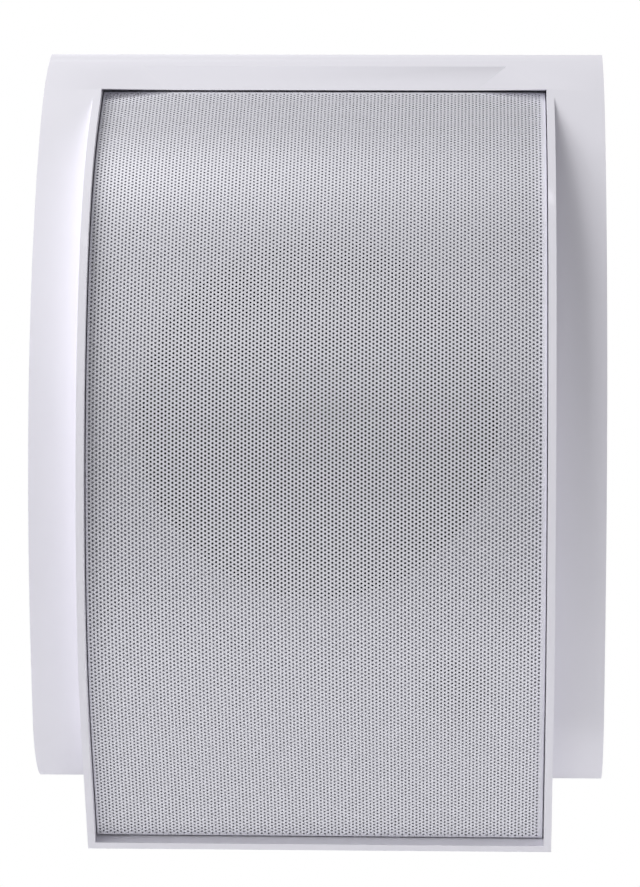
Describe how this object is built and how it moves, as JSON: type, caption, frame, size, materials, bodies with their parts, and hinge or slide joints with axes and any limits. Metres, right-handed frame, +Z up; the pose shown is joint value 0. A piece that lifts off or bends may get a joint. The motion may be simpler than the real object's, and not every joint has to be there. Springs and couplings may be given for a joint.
{
  "type": "wall speaker",
  "caption": "Wall-mounted loudspeaker with a bowed perforated grille in a one-piece white front moulding with side wings, a cone driver, a reflex port and a line transformer.",
  "frame": {"origin": "on the wall face, at the middle of the rear cover", "axes": "+Z up, +X to the right seen from the front, and the grille faces -Y away from the wall"},
  "size_m": [0.208, 0.1057, 0.297],
  "materials": {
    "shell_white": "satin moulded",
    "grille_white": "satin powder coat",
    "cover_white": "satin moulded",
    "zinc_steel": "zinc plated",
    "port_plastic": "matte",
    "gasket_foam": "foam",
    "basket_black": "black paint",
    "black_screws": "black oxide",
    "surround_rubber": "matte",
    "cone_paper": "pressed paper",
    "former_card": "kraft paper",
    "copper": "enamelled copper",
    "spider_cloth": "impregnated cloth",
    "magnet_steel": "plated",
    "ferrite": "ground ferrite",
    "phenolic": "phenolic board",
    "brass": "tinned",
    "laminations": "varnished laminations",
    "bobbin_plastic": "nylon",
    "terminal_plastic": "matte",
    "red_lead": "insulated",
    "black_lead": "insulated",
    "yellow_lead": "insulated",
    "wadding_white": "polyester wadding"
  },
  "bodies": {
    "housing": {"front_shell": "shell_white", "grille": "grille_white", "rear_cover": "cover_white", "cover_screws": "zinc_steel", "port_tube": "port_plastic", "driver_gasket": "gasket_foam", "driver_basket": "basket_black", "driver_screws": "black_screws", "surround": "surround_rubber", "spider": "spider_cloth", "top_plate": "magnet_steel", "ferrite_magnet": "ferrite", "yoke": "magnet_steel", "tag_board": "phenolic", "solder_tags": "brass", "tinsel_leads": "copper", "transformer_core": "laminations", "transformer_bobbin": "bobbin_plastic", "transformer_winding": "copper", "transformer_clamp": "zinc_steel", "transformer_screws": "zinc_steel", "terminal_block": "terminal_plastic", "terminal_screws": "zinc_steel", "block_screws": "zinc_steel", "lead_red": "red_lead", "lead_black": "black_lead", "tap_leads": "yellow_lead", "wadding": "wadding_white"},
    "cone_assembly": {"cone": "cone_paper", "dust_cap": "cone_paper", "coil_former": "former_card", "coil_winding": "copper"}
  },
  "joints": [
    {"name": "cone_excursion", "type": "slide", "parent": "housing", "child": "cone_assembly", "axis": [0, -1, 0], "range_m": [-0.003, 0.003], "stiffness_N_per_m": 1200, "deforming": ["surround", "spider", "tinsel_leads"]}
  ]
}
